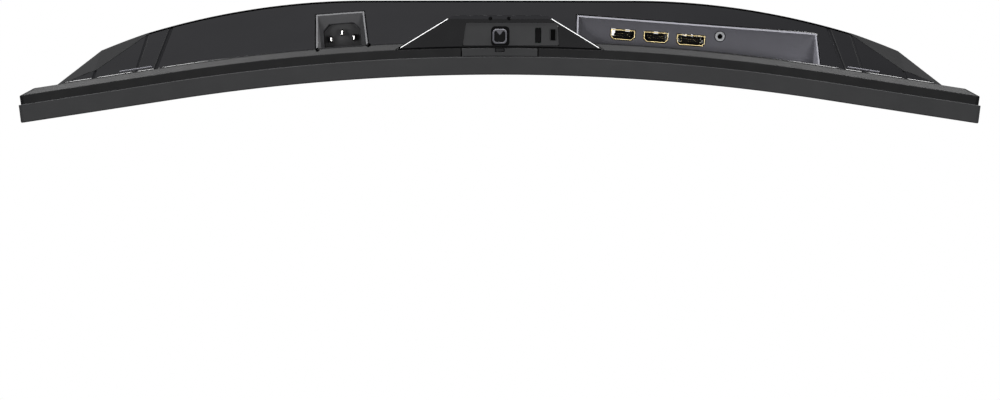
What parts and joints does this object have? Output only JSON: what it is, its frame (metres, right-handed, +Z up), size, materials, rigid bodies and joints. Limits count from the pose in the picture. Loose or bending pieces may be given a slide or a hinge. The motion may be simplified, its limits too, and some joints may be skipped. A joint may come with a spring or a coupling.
{
  "type": "computer monitor",
  "caption": "Curved widescreen computer monitor head without its stand, with a glossy lower rear panel, recessed connector bays and a five-way control stick underneath.",
  "frame": {"origin": "middle of the rear mount plate's outer face", "axes": "+Z up, +X towards the right of a person facing the screen, +Y rearwards out of the mount plate, so the screen faces -Y"},
  "size_m": [0.6116, 0.0789, 0.366],
  "materials": {
    "bezel_black": "fine matte moulded texture",
    "cover_black": "fine matte moulded texture",
    "gloss_black": "polished",
    "bay_grey": "fine satin",
    "module_black": "matte",
    "stick_black": "satin",
    "screen_glass": "anti-glare film",
    "socket_black": "matte",
    "white_plastic": "satin",
    "clear_plastic": "clear, polished",
    "nickel_steel": "bright plated",
    "galvanised_steel": "galvanised sheet",
    "black_steel": "black coating",
    "gold_plate": "thin gold plating",
    "board_green": "solder mask",
    "aluminium": "extruded",
    "cable_black": "flexible sleeve"
  },
  "bodies": {
    "head": {"front_bezel": "bezel_black", "lcd_panel": "screen_glass", "mid_frame": "socket_black", "diffuser_stack": "white_plastic", "light_guide": "clear_plastic", "reflector_sheet": "white_plastic", "led_bar": "aluminium", "backlight_chassis": "galvanised_steel", "rear_cover": "cover_black", "lower_gloss_panel": "gloss_black", "indicator_strip": "bezel_black", "status_light_lens": "clear_plastic", "joystick_platform": "gloss_black", "module_plate": "module_black", "service_port_cover": "socket_black", "security_slot_bracket": "black_steel", "key_board": "board_green", "joystick_switch_base": "socket_black", "io_bay": "bay_grey", "power_bay": "bay_grey", "power_inlet_body": "socket_black", "power_pin_line": "nickel_steel", "power_pin_neutral": "nickel_steel", "power_pin_earth": "nickel_steel", "audio_jack_ring": "white_plastic", "audio_jack_body": "socket_black", "mount_plate": "black_steel", "board_chassis": "galvanised_steel", "main_board": "board_green", "processor_chip": "socket_black", "heat_sink": "aluminium", "power_board": "board_green", "transformer": "socket_black", "mains_capacitor": "cable_black", "mains_choke": "socket_black", "timing_board": "board_green", "timing_board_cover": "galvanised_steel", "panel_ribbon_cable": "white_plastic", "led_cable": "cable_black", "key_board_cable": "cable_black", "inlet_wires": "cable_black", "video_port_1_shell": "gold_plate", "video_port_1_tongue": "socket_black", "video_port_2_shell": "gold_plate", "video_port_2_tongue": "socket_black", "wide_video_port_shell": "gold_plate", "wide_video_port_tongue": "socket_black", "mount_insert_1": "nickel_steel", "mount_screw_1": "black_steel", "mount_insert_2": "nickel_steel", "mount_screw_2": "black_steel", "mount_insert_3": "nickel_steel", "mount_screw_3": "black_steel", "mount_insert_4": "nickel_steel", "mount_screw_4": "black_steel", "platform_screw_1": "black_steel", "platform_screw_2": "black_steel"},
    "gimbal": {"joystick_gimbal": "nickel_steel"},
    "rocker": {"joystick_rocker": "socket_black"},
    "stick": {"joystick_cap": "stick_black"}
  },
  "joints": [
    {"name": "stick_rock_front_back", "type": "hinge", "parent": "head", "child": "gimbal", "pos_m": [0, -0.0206, -0.167], "axis": [1, 0, 0], "range_deg": [-6, 6], "stiffness_Nm_per_rad": 0.05},
    {"name": "stick_rock_side", "type": "hinge", "parent": "gimbal", "child": "rocker", "pos_m": [0, -0.0206, -0.167], "axis": [0, 1, 0], "range_deg": [-6, 6], "stiffness_Nm_per_rad": 0.05},
    {"name": "stick_press", "type": "slide", "parent": "rocker", "child": "stick", "axis": [0, 0, 1], "range_m": [0, 0.0005], "stiffness_N_per_m": 3000}
  ]
}
